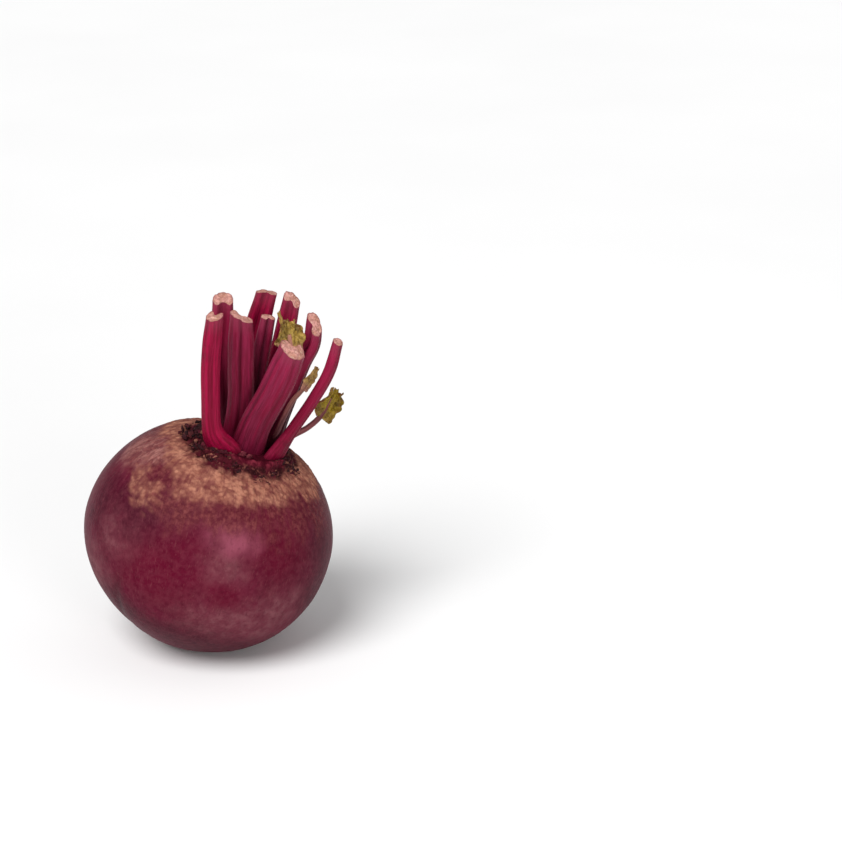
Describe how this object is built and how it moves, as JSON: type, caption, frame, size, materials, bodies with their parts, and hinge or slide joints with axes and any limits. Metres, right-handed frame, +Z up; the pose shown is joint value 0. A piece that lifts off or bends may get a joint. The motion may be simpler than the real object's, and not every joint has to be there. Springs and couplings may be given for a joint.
{
  "type": "beetroot",
  "caption": "Fresh globe beetroot with a corky crown, a trimmed tail, leaf stalks cut short and small young leaves in the heart.",
  "frame": {"origin": "the middle of the small flat that the root rests on", "axes": "+Z up towards the cut stalks; +X to the right and -Y to the front as the root is seen with its stalks leaning right"},
  "size_m": [0.084, 0.0795, 0.1155],
  "materials": {
    "root_skin": "maroon skin with a dull sheen, corky tan round the crown",
    "leaf_stalk": "crimson, semi-gloss, ribbed lengthwise",
    "young_leaf": "yellow-green, satin, crinkled"
  },
  "bodies": {
    "root": {"root": "root_skin", "stalk_front_left": "leaf_stalk", "stalk_right": "leaf_stalk", "stalk_back_left": "leaf_stalk", "stalk_back": "leaf_stalk", "stalk_back_right": "leaf_stalk", "stalk_far_right": "leaf_stalk", "stalk_front": "leaf_stalk", "stalk_left": "leaf_stalk", "stalk_inner": "leaf_stalk", "young_leaf_heart": "young_leaf", "young_leaf_right": "young_leaf", "young_leaf_low": "young_leaf"}
  },
  "joints": []
}
